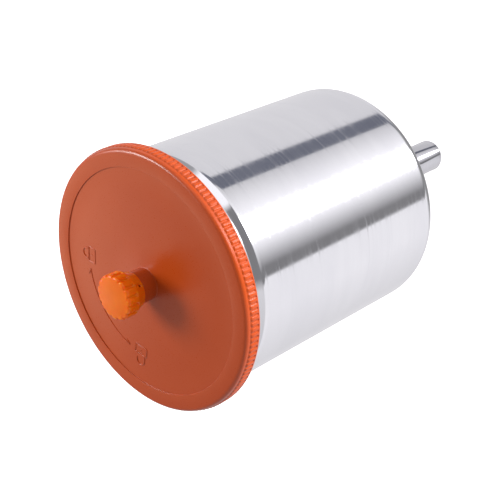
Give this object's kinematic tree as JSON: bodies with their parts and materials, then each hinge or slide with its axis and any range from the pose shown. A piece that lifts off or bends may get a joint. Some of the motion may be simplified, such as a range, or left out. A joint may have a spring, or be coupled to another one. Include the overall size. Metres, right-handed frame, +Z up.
{
  "type": "gravity feed paint cup",
  "caption": "Gravity-feed paint cup for a spray gun: aluminium cup with a funnel bottom and threaded outlet, quick-thread screw lid, screw-down vent cap and lift-out strainer.",
  "frame": {"origin": "centre of the outlet's end face", "axes": "+Z up along the cup's axis, from the outlet to the lid; the side vent hole faces +X -Y"},
  "size_m": [0.1, 0.1, 0.1875],
  "materials": {
    "cup_aluminium": "brushed and polished",
    "plated_fitting": "polished plating",
    "washer_polymer": "matte",
    "strainer_plastic": "matte",
    "strainer_gauze": "woven",
    "seal_rubber": "matte",
    "lid_plastic": "satin moulded",
    "cap_plastic": "gloss moulded"
  },
  "bodies": {
    "cup": {"cup_shell": "cup_aluminium", "outlet_fitting": "plated_fitting", "outer_washer": "washer_polymer", "inner_washer": "washer_polymer", "locknut": "plated_fitting"},
    "strainer": {"strainer_cage": "strainer_plastic", "strainer_mesh": "strainer_gauze"},
    "gasket": {"lid_gasket": "seal_rubber"},
    "lid": {"lid": "lid_plastic", "drip_plug": "strainer_plastic"},
    "seal": {"vent_seal": "seal_rubber"},
    "cap": {"vent_cap": "cap_plastic"}
  },
  "joints": [
    {"name": "strainer_lift", "type": "slide", "parent": "cup", "child": "strainer", "axis": [0, 0, 1], "range_m": [0, 0.06]},
    {"name": "lid_rise", "type": "slide", "parent": "cup", "child": "gasket", "axis": [0, 0, 1], "range_m": [0, 0.009]},
    {"name": "lid_turn", "type": "hinge", "parent": "gasket", "child": "lid", "pos_m": [0, 0, 0.17], "axis": [0, 0, 1], "range_deg": [0, 360]},
    {"name": "vent_rise", "type": "slide", "parent": "lid", "child": "seal", "axis": [0, 0, 1], "range_m": [0, 0.003]},
    {"name": "vent_turn", "type": "hinge", "parent": "seal", "child": "cap", "pos_m": [0, 0, 0.18], "axis": [0, 0, 1], "range_deg": [0, 270]}
  ],
  "couplings": [
    {"joint": "lid_rise", "follows": "lid_turn", "m_per_rad": 0.0014324},
    {"joint": "vent_turn", "follows": "vent_rise", "rad_per_m": 1570.8}
  ]
}
